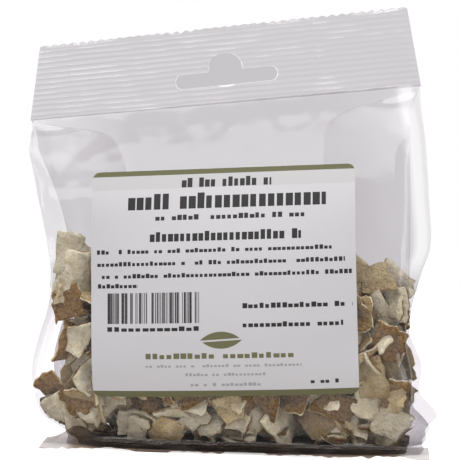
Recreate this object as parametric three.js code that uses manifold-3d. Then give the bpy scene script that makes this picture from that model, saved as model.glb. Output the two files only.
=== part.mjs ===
// A clear film bag of dried orange peel dice, standing on its foot with its label facing -Y.
// Millimetres, +Z up. The bag is a tube of film with a gusset folded in at each side, sealed flat
// at the top in a ribbed header with a hang slot, and at the foot in a ribbed fin.
import * as THREE from 'three';
import { mergeVertices } from 'three/addons/utils/BufferGeometryUtils.js';
import Module from 'manifold-3d';

const wasm = await Module();
wasm.setup();

// The bag between its two seals, by height: its corner folds, its panels and its gusset folds.
const height = [0, 5, 10, 18, 27, 38, 46, 58, 68, 84, 100, 111, 116.6, 118.4];
const leftCorner = [-53, -54.5, -62, -65, -66, -63.6, -61, -59, -60, -62.4, -65.4, -68, -69.6, -69.8];
const rightFrontCorner = [55, 58, 62.5, 63, 63.6, 61.5, 61.8, 62.6, 62.6, 62, 61.4, 62.3, 64.4, 64.6];
const rightBackCorner = [55, 58, 64, 64.4, 65.6, 61.4, 62, 65, 68.2, 67.2, 66, 64.8, 64.8, 64.6];
const frontMiddle = [-16.5, -19, -21, -23, -23.6, -23, -22, -20, -18, -13.5, -8, -3.6, -1.1, -0.4];
const frontCorner = [-12, -14, -14.5, -15, -15.5, -15.5, -15.5, -15, -14.5, -12, -8, -4, -1.2, -0.4];
const backMiddle = [14, 18, 20.5, 22.5, 23, 22.5, 21.5, 19.5, 17.5, 13.5, 8.5, 4, 1.2, 0.4];
const backCorner = [10, 12, 13, 14, 14.5, 15, 15, 15, 14.5, 12, 8, 4.2, 1.2, 0.4];
const foldInset = [6, 10, 15, 20, 22, 23, 24, 25, 26.5, 29, 31, 26, 3, 0];

const panelFlatness = 2.5; // the power of a panel's bulge: 2 is an arc, more is flatter
const leafSlack = 1.4; // over 1, the filling presses the gusset leaves into the groove
const panelSteps = 14;
const leafSteps = 4;
const sectionHeights = 30;

// The header stands askew: it rises to the right, and the empty film below it follows.
const tilt = 0.08;
const tiltStart = 68;

const header = {
  lowerLeft: new THREE.Vector3(-70.5, 0, 112.2),
  lowerRight: new THREE.Vector3(65, 0, 122.9),
  upperLeft: new THREE.Vector3(-67.8, 2, 138.6),
  upperRight: new THREE.Vector3(60, 2, 150),
  thickness: 1.5,
  ribs: 13,
  ribHeight: 0.3,
  toothPitch: 3.3,
  toothDepth: 1,
};

const slot = {
  centre: [-1.8, 126.6],
  turn: 5.2 * Math.PI / 180,
  width: 36,
  armHeight: 5.2,
  bumpWidth: 12,
  bumpHeight: 5.8,
};

const fin = {
  lowerLeft: new THREE.Vector3(-62.8, -23.2, 0.1),
  lowerRight: new THREE.Vector3(69.6, -23.2, 0.1),
  upperLeft: new THREE.Vector3(-57.5, -16.8, 8.4),
  upperRight: new THREE.Vector3(68.6, -16.8, 9.2),
  thickness: 1.1,
  ribs: 4,
  ribHeight: 0.25,
  toothPitch: 3.3,
  toothDepth: 0.8,
};

const label = {
  width: 90,
  height: 75.6,
  cornerRadius: 2.6,
  centre: [0.1, 57.5],
  turn: 2 * Math.PI / 180,
  thickness: 0.4,
  gap: 0.35, // between the film and the label
};

const film = new THREE.MeshStandardMaterial({ color: 0xc9c4b6, roughness: 0.2, metalness: 0 });
const paper = new THREE.MeshStandardMaterial({ color: 0xd6d3d9, roughness: 0.55, metalness: 0 });

const profiles = new Map();

// A smooth curve through a list of values given at the section heights.
function along(values, z) {
  if (!profiles.has(values)) {
    profiles.set(values, new THREE.CubicInterpolant(height, values, 1));
  }
  return profiles.get(values).evaluate(z)[0];
}

function tiltAt(z) {
  return tilt * THREE.MathUtils.smoothstep(z, tiltStart, height.at(-1));
}

// How far forward the front panel stands at x and at height z of the untilted bag.
function frontPanelY(x, z) {
  const left = along(leftCorner, z);
  const right = along(rightFrontCorner, z);
  const across = 2 * (x - left) / (right - left) - 1;
  const bulge = 1 - Math.pow(Math.min(Math.abs(across), 1), panelFlatness);
  return along(frontCorner, z) + bulge * (along(frontMiddle, z) - along(frontCorner, z));
}

function panelPoints(z, left, right, corner, middle) {
  const points = [];
  for (let i = 0; i < panelSteps; i++) {
    const across = 2 * i / panelSteps - 1;
    const bulge = 1 - Math.pow(Math.abs(across), panelFlatness);
    points.push([THREE.MathUtils.lerp(left, right, i / panelSteps), corner + bulge * (middle - corner)]);
  }
  return points;
}

// From the first corner in to the gusset fold and out to the second corner.
function gussetPoints(first, firstY, second, secondY, inset) {
  const side = Math.sign(first);
  const points = [];
  for (let i = 0; i < leafSteps; i++) {
    const inward = i / leafSteps;
    points.push([first - side * inset * inward, firstY * Math.pow(1 - inward, leafSlack)]);
  }
  for (let i = 0; i < leafSteps; i++) {
    const outward = i / leafSteps;
    const x = THREE.MathUtils.lerp(first - side * inset, second, outward);
    points.push([x, secondY * Math.pow(outward, leafSlack)]);
  }
  return points;
}

// The bag's outline at one height, counterclockwise from the front left corner.
function section(z) {
  const left = along(leftCorner, z);
  const rightFront = along(rightFrontCorner, z);
  const rightBack = along(rightBackCorner, z);
  const front = along(frontCorner, z);
  const back = along(backCorner, z);
  const inset = Math.max(along(foldInset, z), 0);
  return [
    ...panelPoints(z, left, rightFront, front, along(frontMiddle, z)),
    ...gussetPoints(rightFront, front, rightBack, back, inset),
    ...panelPoints(z, rightBack, left, back, along(backMiddle, z)),
    ...gussetPoints(left, back, left, front, inset),
  ];
}

function geometryOf(positions, triangles) {
  const geometry = new THREE.BufferGeometry();
  geometry.setAttribute('position', new THREE.Float32BufferAttribute(positions, 3));
  geometry.setIndex(triangles);
  return geometry;
}

// The filled bag: sections stacked from the foot to the header, closed at both ends.
function bodyGeometry() {
  const positions = [];
  const triangles = [];
  const outlines = [];
  for (let k = 0; k <= sectionHeights; k++) {
    const z = height.at(-1) * k / sectionHeights;
    outlines.push(section(z));
    for (const [x, y] of outlines[k]) {
      positions.push(x, y, z + tiltAt(z) * x);
    }
  }
  const count = outlines[0].length;
  for (let k = 0; k < sectionHeights; k++) {
    for (let i = 0; i < count; i++) {
      const here = k * count + i;
      const next = k * count + (i + 1) % count;
      triangles.push(here, next, next + count, here, next + count, here + count);
    }
  }
  for (const [ring, turned] of [[0, true], [sectionHeights, false]]) {
    const contour = outlines[ring].map(([x, y]) => new THREE.Vector2(x, y));
    for (const [a, b, c] of THREE.ShapeUtils.triangulateShape(contour, [])) {
      const face = turned ? [a, c, b] : [a, b, c];
      triangles.push(...face.map((corner) => corner + ring * count));
    }
  }
  return geometryOf(positions, triangles);
}

// A thin plate over a grid of columns and rows. middle(s, t) is its middle surface, half(t) half
// its thickness, and it faces -Y.
function plateGeometry(columns, rows, middle, half) {
  const positions = [];
  const triangles = [];
  const layer = (columns + 1) * (rows + 1);
  for (const side of [-1, 1]) {
    for (let j = 0; j <= rows; j++) {
      for (let i = 0; i <= columns; i++) {
        const point = middle(i / columns, j / rows);
        positions.push(point.x, point.y + side * half(j / rows), point.z);
      }
    }
  }
  const quad = (a, b, c, d) => triangles.push(a, b, c, a, c, d);
  const at = (i, j) => j * (columns + 1) + i;
  for (let j = 0; j < rows; j++) {
    for (let i = 0; i < columns; i++) {
      const [a, b, c, d] = [at(i, j), at(i + 1, j), at(i + 1, j + 1), at(i, j + 1)];
      quad(a, b, c, d);
      quad(d + layer, c + layer, b + layer, a + layer);
    }
  }
  for (let i = 0; i < columns; i++) {
    quad(at(i + 1, 0), at(i, 0), at(i, 0) + layer, at(i + 1, 0) + layer);
    quad(at(i, rows), at(i + 1, rows), at(i + 1, rows) + layer, at(i, rows) + layer);
  }
  for (let j = 0; j < rows; j++) {
    quad(at(0, j), at(0, j + 1), at(0, j + 1) + layer, at(0, j) + layer);
    quad(at(columns, j + 1), at(columns, j), at(columns, j) + layer, at(columns, j + 1) + layer);
  }
  return geometryOf(positions, triangles);
}

function solidOf(geometry) {
  const bare = geometry.clone();
  bare.deleteAttribute('normal');
  bare.deleteAttribute('uv');
  const merged = mergeVertices(bare, 1e-4);
  const mesh = new wasm.Mesh({
    numProp: 3,
    vertProperties: new Float32Array(merged.attributes.position.array),
    triVerts: new Uint32Array(merged.index.array),
  });
  return new wasm.Manifold(mesh);
}

function meshOf(solid, material, name) {
  const { vertProperties, triVerts, numProp } = solid.getMesh();
  const positions = [];
  for (let i = 0; i < vertProperties.length; i += numProp) {
    positions.push(vertProperties[i], vertProperties[i + 1], vertProperties[i + 2]);
  }
  const mesh = new THREE.Mesh(geometryOf(positions, Array.from(triVerts)), material);
  mesh.geometry.computeVertexNormals();
  mesh.name = name;
  return mesh;
}

// A seal's middle surface runs straight between its four corners.
function sealPoint(seal, s, t) {
  const lower = seal.lowerLeft.clone().lerp(seal.lowerRight, s);
  const upper = seal.upperLeft.clone().lerp(seal.upperRight, s);
  return lower.lerp(upper, t);
}

// A ribbed seal: the crimp jaws leave level ribs on both faces.
function sealSolid(seal, columns) {
  const stepsPerRib = 2;
  const half = (t) => seal.thickness / 2 - seal.ribHeight * Math.pow(Math.sin(Math.PI * seal.ribs * t), 2);
  const middle = (s, t) => sealPoint(seal, s, t);
  return solidOf(plateGeometry(columns, seal.ribs * stepsPerRib, middle, half));
}

// Outline points turned and moved, pushed through the bag along Y.
function cutterOf(outline, centre, turn, depth) {
  const geometry = new THREE.ExtrudeGeometry(outline, { depth, bevelEnabled: false, curveSegments: 6 });
  geometry.translate(0, 0, -depth / 2);
  geometry.rotateZ(turn);
  geometry.rotateX(Math.PI / 2);
  geometry.translate(centre[0], 0, centre[1]);
  return solidOf(geometry);
}

// The saw cut along a seal's free edge, as a comb of triangles between two corners.
function teethCutter(seal, from, to, outward) {
  const length = to.x - from.x;
  const teeth = Math.round(length / seal.toothPitch);
  const outline = new THREE.Shape();
  const reach = outward * 3;
  outline.moveTo(from.x - 1, from.z + reach);
  for (let i = 0; i <= 2 * teeth; i++) {
    const along = i / (2 * teeth);
    const depth = i % 2 ? 0 : seal.toothDepth;
    outline.lineTo(from.x + length * along, THREE.MathUtils.lerp(from.z, to.z, along) - outward * depth);
  }
  outline.lineTo(to.x + 1, to.z + reach);
  return cutterOf(outline, [0, 0], 0, 80);
}

// A hang slot: two arms with round ends and a bump between them.
function slotOutline() {
  const end = slot.armHeight / 2;
  const arm = slot.width / 2 - end;
  const foot = slot.bumpWidth / 2;
  const top = slot.armHeight / 2 + slot.bumpHeight;
  const outline = new THREE.Shape();
  outline.moveTo(-arm, -end);
  outline.lineTo(arm, -end);
  outline.absarc(arm, 0, end, -Math.PI / 2, Math.PI / 2, false);
  outline.lineTo(foot + 1, end);
  outline.bezierCurveTo(foot - 1.5, end, foot - 1, top, 1.6, top);
  outline.lineTo(-1.6, top);
  outline.bezierCurveTo(1 - foot, top, 1.5 - foot, end, -foot - 1, end);
  outline.lineTo(-arm, end);
  outline.absarc(-arm, 0, end, Math.PI / 2, 3 * Math.PI / 2, false);
  return outline;
}

function headerSolid() {
  return sealSolid(header, 6)
    .subtract(cutterOf(slotOutline(), slot.centre, slot.turn, 20))
    .subtract(teethCutter(header, header.upperLeft, header.upperRight, 1));
}

function finSolid() {
  return sealSolid(fin, 10).subtract(teethCutter(fin, fin.lowerLeft, fin.lowerRight, -1));
}

// The untilted height whose tilted place is z.
function untilted(x, z) {
  let guess = z;
  for (let round = 0; round < 8; round++) {
    guess = z - tiltAt(guess) * x;
  }
  return guess;
}

function roundedRectangle(width, depth, radius) {
  const outline = new THREE.Shape();
  const x = width / 2 - radius;
  const y = depth / 2 - radius;
  outline.absarc(x, y, radius, 0, Math.PI / 2, false);
  outline.absarc(-x, y, radius, Math.PI / 2, Math.PI, false);
  outline.absarc(-x, -y, radius, Math.PI, 3 * Math.PI / 2, false);
  outline.absarc(x, -y, radius, 3 * Math.PI / 2, 2 * Math.PI, false);
  return outline;
}

// The label lies on the front panel and takes its curve.
function labelSolid() {
  const margin = 2;
  const middle = (s, t) => {
    const a = (s - 0.5) * (label.width + margin);
    const b = (t - 0.5) * (label.height + margin);
    const x = label.centre[0] + a * Math.cos(label.turn) - b * Math.sin(label.turn);
    const z = label.centre[1] + a * Math.sin(label.turn) + b * Math.cos(label.turn);
    const y = frontPanelY(x, untilted(x, z)) - label.gap - label.thickness / 2;
    return new THREE.Vector3(x, y, z);
  };
  const sheet = solidOf(plateGeometry(12, 12, middle, () => label.thickness / 2));
  const outline = roundedRectangle(label.width, label.height, label.cornerRadius);
  return sheet.intersect(cutterOf(outline, label.centre, label.turn, 80));
}

const bag = solidOf(bodyGeometry()).add(headerSolid()).add(finSolid());

const group = new THREE.Group();
group.add(meshOf(bag, film, 'bag'));
group.add(meshOf(labelSolid(), paper, 'label'));

// The origin is under the middle of the bag's box, at the height of its foot.
const box = new THREE.Box3().setFromObject(group);
const middle = box.getCenter(new THREE.Vector3());
group.position.set(-middle.x, -middle.y, -box.min.z);

export default group;
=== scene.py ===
import bpy
import math
import random
from functools import lru_cache
import numpy as np
from mathutils import Euler, Matrix, Vector, noise
from mathutils.bvhtree import BVHTree


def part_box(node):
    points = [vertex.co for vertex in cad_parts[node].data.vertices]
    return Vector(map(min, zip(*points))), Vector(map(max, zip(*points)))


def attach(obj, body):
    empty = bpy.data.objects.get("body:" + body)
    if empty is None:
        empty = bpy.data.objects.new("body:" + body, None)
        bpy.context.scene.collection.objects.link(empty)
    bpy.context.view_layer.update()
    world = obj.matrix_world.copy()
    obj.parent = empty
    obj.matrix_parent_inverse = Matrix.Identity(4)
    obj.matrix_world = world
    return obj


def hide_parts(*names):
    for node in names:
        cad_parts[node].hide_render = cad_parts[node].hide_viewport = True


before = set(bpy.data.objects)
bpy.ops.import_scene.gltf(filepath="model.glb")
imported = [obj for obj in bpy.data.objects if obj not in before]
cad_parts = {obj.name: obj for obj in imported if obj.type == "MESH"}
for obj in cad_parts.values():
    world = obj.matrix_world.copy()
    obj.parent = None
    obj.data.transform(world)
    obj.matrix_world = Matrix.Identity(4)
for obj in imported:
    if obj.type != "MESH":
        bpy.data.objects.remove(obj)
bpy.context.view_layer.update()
mm = 0.001
bagLow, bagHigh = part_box("bag")
print("frame loaded")

# The bag stands with its header askew. Its sections are given by height, in mm, before that tilt.
bagShape = {
    "shift": (0.492, 0.661),
    "height": (0, 5, 10, 18, 27, 38, 46, 58, 68, 84, 100, 111, 116.6, 118.4),
    "left": (-53, -54.5, -62, -65, -66, -63.6, -61, -59, -60, -62.4, -66.2, -69.4, -71.1, -71.3),
    "rightFront": (55, 58, 62.5, 63, 63.6, 61.5, 61.8, 62.6, 62.6, 62, 61.4, 62.3, 64.4, 64.6),
    "rightBack": (55, 58, 64, 64.4, 65.6, 61.4, 62, 65, 68.2, 67.2, 66, 64.8, 64.8, 64.6),
    "frontMiddle": (-16.5, -19, -21, -23, -23.6, -23, -22, -20, -18, -13.5, -8, -3.6, -1.1, -0.4),
    "frontCorner": (-12, -14, -14.5, -15, -15.5, -15.5, -15.5, -15, -14.5, -13.2, -8.2, -3.9, -1.2, -0.4),
    "backMiddle": (14, 18, 20.5, 22.5, 23, 22.5, 21.5, 19.5, 17.5, 13.5, 8.5, 4, 1.2, 0.4),
    "backCorner": (10, 12, 13, 14, 14.5, 15, 15, 15, 14.5, 12, 8, 4.2, 1.2, 0.4),
    "foldInset": (6, 10, 15, 20, 22, 23, 24, 25, 26.5, 29, 31, 26, 3, 0),
    "panelFlatness": 2.5,
    "leafSlack": 1.4,
    "tilt": 0.08,
    "tiltStart": 68,
}


@lru_cache(maxsize=None)
def along(name, z):
    # a smooth curve through the values of one list, by height
    heights, values = bagShape["height"], bagShape[name]
    z = min(max(z, heights[0]), heights[-1])
    k = next(i for i in range(1, len(heights)) if z <= heights[i] or i == len(heights) - 1)
    step = heights[k] - heights[k - 1]

    def slope(i):
        low, high = max(i - 1, 0), min(i + 1, len(heights) - 1)
        return (values[high] - values[low]) / (heights[high] - heights[low])
    t = (z - heights[k - 1]) / step
    ease = t * t * (3 - 2 * t)
    bend = (t - 2 * t * t + t ** 3) * step * slope(k - 1) + (t ** 3 - t * t) * step * slope(k)
    return values[k - 1] + ease * (values[k] - values[k - 1]) + bend


def smoothStep(x, low, high):
    x = min(max((x - low) / (high - low), 0), 1)
    return x * x * (3 - 2 * x)


def tilted(x, y, z):
    # from the untilted bag, in mm, to its place in metres
    rise = bagShape["tilt"] * smoothStep(z, bagShape["tiltStart"], bagShape["height"][-1])
    dx, dy = bagShape["shift"]
    return Vector(((x + dx) * mm, (y + dy) * mm, (z + rise * x) * mm))


def ringPoint(s, z):
    # s runs once round the bag: 0 to 1 front, to 2 right gusset, to 3 back, to 4 left gusset
    part, t = int(s) % 4, s - int(s)
    left, rightFront, rightBack = along("left", z), along("rightFront", z), along("rightBack", z)
    inset = max(along("foldInset", z), 0)
    if part in (0, 2):
        side = "front" if part == 0 else "back"
        corner, middle = along(side + "Corner", z), along(side + "Middle", z)
        bulge = 1 - abs(2 * t - 1) ** bagShape["panelFlatness"]
        ends = (left, rightFront) if part == 0 else (rightBack, left)
        return ends[0] + t * (ends[1] - ends[0]), corner + bulge * (middle - corner)
    front, back = along("frontCorner", z), along("backCorner", z)
    first, second, firstY, secondY = (rightFront, rightBack, front, back) if part == 1 else (left, left, back, front)
    fold = first - math.copysign(inset, first)
    if t < 0.5:
        return first + 2 * t * (fold - first), firstY * (1 - 2 * t) ** bagShape["leafSlack"]
    return fold + (2 * t - 1) * (second - fold), secondY * (2 * t - 1) ** bagShape["leafSlack"]


def deselect():
    bpy.ops.object.select_all(action="DESELECT")


def sheetOf(name, columns, rows, place):
    # a grid whose points are laid in place by a function of its two directions, 0 to 1
    deselect()
    bpy.ops.mesh.primitive_grid_add(x_subdivisions=columns, y_subdivisions=rows, size=1)
    piece = bpy.context.object
    piece.name = piece.data.name = name
    for point in piece.data.vertices:
        point.co = place(point.co.x + 0.5, point.co.y + 0.5)
    return piece


# The camera stands a little to the right of the label, nearly level with it.
view = {"azimuth": 10, "elevation": 2, "distance": 0.52, "target": (0.0002, 0.0, 0.074), "lens": 117.8}
azimuth, elevation = math.radians(view["azimuth"]), math.radians(view["elevation"])
away = Vector((math.sin(azimuth) * math.cos(elevation), -math.cos(azimuth) * math.cos(elevation), math.sin(elevation)))
target = Vector(view["target"])
bpy.ops.object.camera_add(location=target + away * view["distance"])
camera = bpy.context.object
camera.data.lens = view["lens"]
camera.data.sensor_width = 36
camera.data.clip_start = 0.01
camera.rotation_euler = (-away).to_track_quat("-Z", "Y").to_euler()
bpy.context.scene.camera = camera
bpy.context.scene.view_settings.view_transform = "Standard"


def noiseAt(x, y, z, size, seed=0.0):
    return noise.noise(Vector((x / size + seed, y / size - seed, z / size + 0.5 * seed)))


# The film is one thin skin from the foot to the header, drawn in between the dice it holds.
film = {
    "columns": 320,
    "rows": 110,
    "cling": 1.5,
    "underLabel": 0.3,
    "reach": 5,
    "soft": 0.022,
    "swell": (0.06, 0.024),
    "margin": 2.3,
    "marginShare": 0.045,
    "leftBulge": 1.3,
    "lobe": ((0, 2, 5, 9, 12, 16, 20), (0.17, 0.19, 0.15, 0.12, 0.08, 0.02, 0)),
    "footPush": 4.2,
    "wrinkle": 0.1,
    "pucker": 0.3,
    # how much the film dims what is seen through it, once round: front, right gusset, back, left gusset. The film's own
    # tint is slight; the stronger dimming behind the front is painted shade, and the clear strip near the right end of
    # the back is a painted highlight
    "veil": ((0, 0.02), (1.5, 0.02), (2, 0.08), (2.001, 0.35), (2.018, 0.35), (2.028, 0), (2.046, 0), (2.066, 0.85),
             (2.25, 1), (2.75, 1), (2.88, 0.7), (2.99, 0.5), (3.02, 0.1), (3.5, 0.1), (3.8, 0.2), (3.9, 0.5), (4, 0.5)),
    # below the fade the film is dimmed more, all round but the middle of the front: painted shade, darker towards the
    # bottom
    "paintedLowShade": 0.7,
    "paintedLowShadeFade": (66, 48),
}


def roundedStep(s):
    # even spacing for the ring: the panels get most of the columns
    marks = ((0, 0), (0.35, 1), (0.5, 2), (0.85, 3), (1, 4))
    for (low, first), (high, second) in zip(marks, marks[1:]):
        if s <= high:
            return min(first + (s - low) / (high - low), second - 1e-6)
    return 4 - 1e-6


def inwardAt(s, z):
    # the ring's inward direction, level, from its neighbours on both sides
    ax, ay = ringPoint((s - 0.03) % 4, z)
    bx, by = ringPoint((s + 0.03) % 4, z)
    long = math.hypot(bx - ax, by - ay) or 1
    return -(by - ay) / long, (bx - ax) / long


def skinPoint(s, z):
    # the ring with its four long folds rounded, and its front pushed out against the fin at the foot
    loose = smoothStep(bagShape["height"][-1] - z, 2, 14)
    spots = [ringPoint((s + k * film["soft"] * loose / 3) % 4, z) for k in range(-3, 4)]
    x = sum(x for x, _ in spots) / 7 
    y = sum(y for _, y in spots) / 7
    x *= 1 + film["swell"][0 if x < 0 else 1] * loose
    x *= 1 + np.interp(z, *film["lobe"]) * smoothStep(x, 36, 54)
    if s < 1:
        edge = max(0, 1 - min(s, 1 - s) / film["marginShare"])
        y += film["margin"] * edge * smoothStep(z, 14, 34) * smoothStep(z, 108, 92)
        y -= film["leftBulge"] * smoothStep(0.4 - s, 0, 0.35) * math.exp(-((z - 84) / 11) ** 2)
        y -= film["footPush"] * smoothStep(8 - z, 0, 8) * smoothStep(min(s, 1 - s), 0, 0.12)
    return x, y


def trianglesOf(name, points, faces):
    # one mesh from whole arrays of points and faces, for what is repeated hundreds of times
    mesh = bpy.data.meshes.new(name)
    mesh.from_pydata(points, [], faces)
    mesh.validate()
    piece = bpy.data.objects.new(name, mesh)
    bpy.context.collection.objects.link(piece)
    return piece


def finishMesh(piece, angle=None):
    # doubles merged, faces outward, smooth
    deselect()
    piece.select_set(True)
    bpy.context.view_layer.objects.active = piece
    bpy.ops.object.mode_set(mode="EDIT")
    bpy.ops.mesh.select_all(action="SELECT")
    bpy.ops.mesh.remove_doubles(threshold=0.00001)
    bpy.ops.mesh.normals_make_consistent(inside=False)
    bpy.ops.object.mode_set(mode="OBJECT")
    if angle is None:
        bpy.ops.object.shade_smooth()
    else:
        bpy.ops.object.shade_smooth_by_angle(angle=math.radians(angle))


def applied(piece, kind, **settings):
    bpy.context.view_layer.objects.active = piece
    change = piece.modifiers.new("change", kind)
    for name, value in settings.items():
        setattr(change, name, value)
    bpy.ops.object.modifier_apply(modifier=change.name)


# Dried peel is cut into dice that curl as they dry: cream pith on one side, tan zest on the other.
peel = {
    "seed": 11,
    "kinds": 20,
    "count": 730,
    "sliverShare": 0.2,
    "cells": 6,
    "thick": (1.3, 2.4),
    "wide": (8.8, 14.8),
    "curl": (7, 26),
    "clearance": 0.6,
    "pressed": 0.05,
    "rounds": 90,
    "sink": 0.05,
    "heapTop": (66, 6),
    "facing": 0.62,
    "pithOut": 0.52,
    "brownShare": 0.55,
    "ceiling": 84,
}
core = {"middle": (-1, 0, 29), "radii": (41, 8.5, 26)}


def diceKind(number, sliver):
    # one die as a closed mesh in mm, with zest from 0 on the pith side to 1 on the zest side
    draw = random.Random(peel["seed"] * 100 + number)
    deselect()
    bpy.ops.mesh.primitive_grid_add(x_subdivisions=2 if sliver else peel["cells"], y_subdivisions=peel["cells"], size=2)
    piece = bpy.context.object
    applied(piece, "SOLIDIFY", thickness=0.4, offset=0)
    applied(piece, "BEVEL", width=0.07, segments=1, angle_limit=math.radians(60))
    thick = draw.uniform(*peel["thick"])
    wide = draw.uniform(*peel["wide"])
    deep = wide * draw.uniform(0.65, 1.05)
    if sliver:
        wide = draw.uniform(3, 4.5)
    corners = [Vector((i * wide / 2 + draw.uniform(-1.9, 1.9), j * deep / 2 + draw.uniform(-1.9, 1.9)))
               for i in (-1, 1) for j in (-1, 1)]
    radius = draw.uniform(*peel["curl"]) * draw.choice((-1, 1, 1))
    twist = draw.uniform(0, math.pi)
    saddle = draw.uniform(-0.008, 0.008)
    offset = Vector((draw.uniform(0, 90), draw.uniform(0, 90), draw.uniform(0, 90)))
    plan = np.array([point.co for point in piece.data.vertices])
    points = []
    for u, v, w in plan:
        w = w / 0.2
        trim = 1 - 0.03 * (u * v) ** 2
        u, v = u * trim, v * trim
        a = corners[0].lerp(corners[2], 0.5 + 0.5 * u)
        b = corners[1].lerp(corners[3], 0.5 + 0.5 * u)
        flat = a.lerp(b, 0.5 + 0.5 * v)
        rim = max(abs(u), abs(v)) ** 3
        ragged = noise.noise_vector(Vector((flat.x, flat.y, 0)) * 0.4 + offset) * (0.3 + 1.1 * rim)
        ragged += noise.noise_vector(Vector((flat.x, flat.y, w)) * 1.1 + offset) * 0.55 * rim
        flat = flat + Vector((ragged.x, ragged.y))
        height = w * thick / 2 * (1 - 0.15 * rim)
        height += 0.6 * noise.noise(Vector((flat.x, flat.y, w)) * 0.35 + offset)
        height += 0.4 * noise.noise(Vector((flat.x, flat.y, w * 3)) * 0.9 + offset)
        across = flat.x * math.cos(twist) + flat.y * math.sin(twist)
        level = -flat.x * math.sin(twist) + flat.y * math.cos(twist)
        bend = across / radius
        across, height = (radius - height) * math.sin(bend), radius - (radius - height) * math.cos(bend)
        points.append((across * math.cos(twist) - level * math.sin(twist),
                       across * math.sin(twist) + level * math.cos(twist), height + saddle * level * level))
    points = np.array(points)
    faces = [tuple(face.vertices) for face in piece.data.polygons]
    bpy.data.objects.remove(piece, do_unlink=True)
    balls = []
    for u in ((0,) if sliver else (-0.72, 0, 0.72)):
        for v in (-0.78, -0.26, 0.26, 0.78):
            order = np.argsort((plan[:, 0] - u) ** 2 + (plan[:, 1] - v) ** 2)
            upper = [k for k in order if plan[k, 2] > 0][0]
            lower = [k for k in order if plan[k, 2] < 0][0]
            balls.append([*(points[upper] + points[lower]) / 2, thick * 0.5])
    return {"points": points, "faces": faces, "zest": 0.5 - 2.5 * plan[:, 2], "balls": np.array(balls)}


def wallTables(clearance):
    # how far the two panels and the gusset leaves stand from the middle plane, by x and height
    xs, zs = np.arange(-70, 71, 1.0), np.arange(0, 86, 1.0)
    front, back, groove = (np.zeros((len(zs), len(xs))) for _ in range(3))
    for row, z in enumerate(zs):
        ring = {part: np.array([ringPoint(part + t, z) for t in np.linspace(0, 0.9999, 24)]) for part in range(4)}
        for place in ring.values():
            place[:, 0] *= np.where(place[:, 0] < 0, 1 + 0.4 * film["swell"][0], 1 + 0.7 * film["swell"][1])
        front[row] = np.interp(xs, ring[0][:, 0], ring[0][:, 1], left=0, right=0) + clearance
        back[row] = np.interp(xs, ring[2][::-1, 0], ring[2][::-1, 1], left=0, right=0) - clearance
        rightLeaf, leftLeaf = ring[1][:13][::-1], ring[3][12:][::-1]
        groove[row] = np.interp(xs, rightLeaf[:, 0], -rightLeaf[:, 1], left=-clearance)
        groove[row] = np.maximum(groove[row], np.interp(-xs, -leftLeaf[::-1, 0], -leftLeaf[::-1, 1], left=-clearance))
        groove[row] += clearance
    return xs, zs, front, back, groove


def lookUp(table, x, z, xs, zs):
    i = np.clip(x - xs[0], 0, len(xs) - 1.001)
    j = np.clip(z - zs[0], 0, len(zs) - 1.001)
    i0, j0 = i.astype(int), j.astype(int)
    fi, fj = i - i0, j - j0
    low = table[j0, i0] * (1 - fi) + table[j0, i0 + 1] * fi
    high = table[j0 + 1, i0] * (1 - fi) + table[j0 + 1, i0 + 1] * fi
    return low * (1 - fj) + high * fj


def touching(points, reach):
    # pairs of points nearer than reach, found through a grid of cells
    cell = np.floor(points / reach).astype(np.int64) + 2000
    key = (cell[:, 0] * 5000 + cell[:, 1]) * 5000 + cell[:, 2]
    order = np.argsort(key, kind="stable")
    ranked = key[order]
    steps = [(a, b, c) for a in (-1, 0, 1) for b in (-1, 0, 1) for c in (-1, 0, 1) if (a, b, c) > (0, 0, 0)]
    firsts, seconds = [], []
    for a, b, c in [(0, 0, 0)] + steps:
        goal = ranked + (a * 5000 + b) * 5000 + c
        low, high = np.searchsorted(ranked, goal, "left"), np.searchsorted(ranked, goal, "right")
        if (a, b, c) == (0, 0, 0):
            low = np.arange(len(ranked)) + 1
        many = np.maximum(high - low, 0)
        first = np.repeat(np.arange(len(ranked)), many)
        start = np.repeat(low - np.concatenate(([0], np.cumsum(many)[:-1])), many)
        firsts.append(order[first])
        seconds.append(order[start + np.arange(many.sum())])
    return np.concatenate(firsts), np.concatenate(seconds)


def scatterPeel(kinds, walls):
    # a first place and turn for each die, all through the foot of the bag but not in the core
    draw = np.random.default_rng(peel["seed"])
    xs, zs, front, back, groove = walls
    slivers = len(kinds) // 4
    places, turns, which = [], [], []
    while len(places) < peel["count"]:
        x, z = draw.uniform(-68, 65), draw.uniform(3, 80)
        near, far, fold = (lookUp(table, x, z, xs, zs) for table in (front, back, groove))
        fold = max(fold, 0)
        top = peel["heapTop"][0] + peel["heapTop"][1] * smoothStep(-x, 10, 55)
        if z > top or draw.random() * 38 > far - near - 2 * fold:
            continue
        y = draw.uniform(near + fold, far - fold)
        y += math.copysign(fold, y)
        x0, y0, z0 = core["middle"]
        rx, ry, rz = core["radii"]
        if ((x - x0) / rx) ** 2 + ((y - y0) / ry) ** 2 + ((z - z0) / rz) ** 2 < 0.8:
            continue
        facing = math.copysign(1, y) * (1 if draw.random() < peel["pithOut"] else -1)
        normal = Vector(draw.normal(size=3)) * (1 - peel["facing"]) + Vector((0, facing, 0)) * peel["facing"]
        turn = normal.to_track_quat("Z", "Y").to_matrix() @ Matrix.Rotation(draw.uniform(0, 6.28), 3, "Z")
        small = draw.random() < peel["sliverShare"]
        which.append(int(draw.integers(len(kinds) - slivers, len(kinds)) if small
                         else draw.integers(0, len(kinds) - slivers)))
        places.append((x, y, z))
        turns.append(np.array(turn))
    return which, np.array(places), np.array(turns)


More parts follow.
